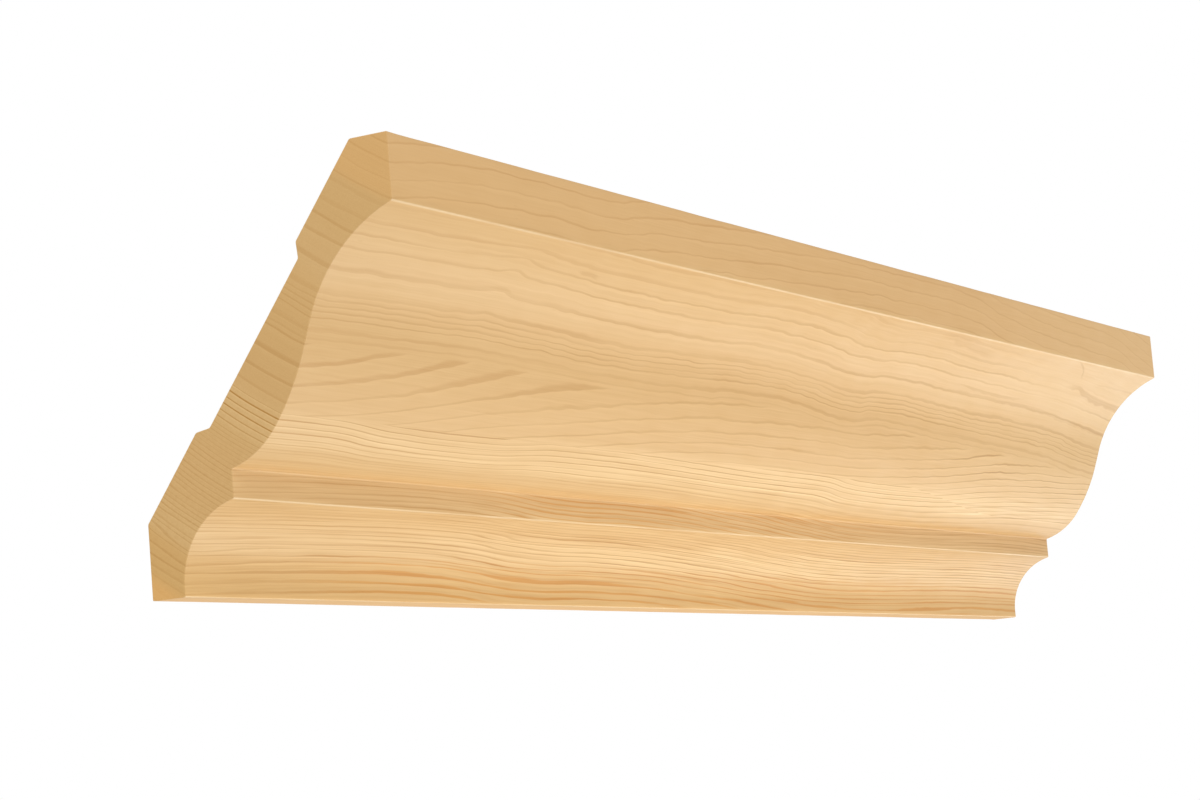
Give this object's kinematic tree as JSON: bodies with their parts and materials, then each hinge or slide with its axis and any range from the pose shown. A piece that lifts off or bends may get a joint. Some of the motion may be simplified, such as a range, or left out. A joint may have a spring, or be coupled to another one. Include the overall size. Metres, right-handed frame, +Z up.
{
  "type": "crown moulding piece",
  "caption": "Length of sprung wooden crown moulding with a fascia, an ogee, a fillet and a small cove, cut square at both ends to cover the corner between a wall and a ceiling.",
  "frame": {"origin": "middle of the narrow plumb face that bears on the wall, halfway along the length", "axes": "+X along the moulding's length, +Y into the wall, +Z up towards the ceiling"},
  "size_m": [0.5, 0.0701, 0.0943],
  "materials": {
    "pine": "unfinished, smooth planed pine with flat-sawn grain and fresh-sawn ends"
  },
  "bodies": {
    "root": {"crown_moulding": "pine"}
  },
  "joints": []
}
